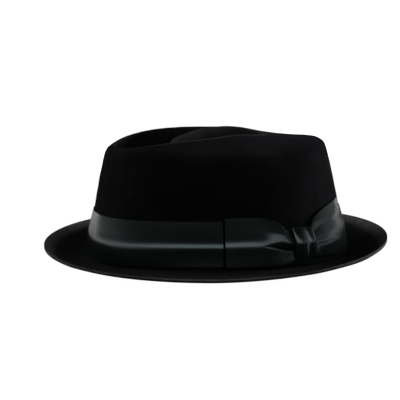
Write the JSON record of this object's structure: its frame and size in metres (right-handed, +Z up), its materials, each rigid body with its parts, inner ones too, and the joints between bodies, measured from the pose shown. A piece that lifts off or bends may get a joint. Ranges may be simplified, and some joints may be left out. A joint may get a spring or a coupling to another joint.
{
  "type": "porkpie hat",
  "caption": "Short-brimmed felt hat with a tapered teardrop-creased crown, a ribbon band and a flat side bow.",
  "frame": {"origin": "middle of the brim's outline, on the surface that the hat rests on", "axes": "+X towards the back of the hat, -Y towards the wearer's left side with the bow, +Z up through the crown"},
  "size_m": [0.273, 0.2406, 0.1032],
  "materials": {
    "felt": "matt black wool felt with a short even nap",
    "ribbon": "charcoal black satin-faced ribbon with a fine cross rib"
  },
  "bodies": {
    "root": {"felt_body": "felt", "ribbon_band": "ribbon", "bow_front_wing": "ribbon", "bow_rear_wing": "ribbon", "bow_knot": "ribbon"}
  },
  "joints": []
}
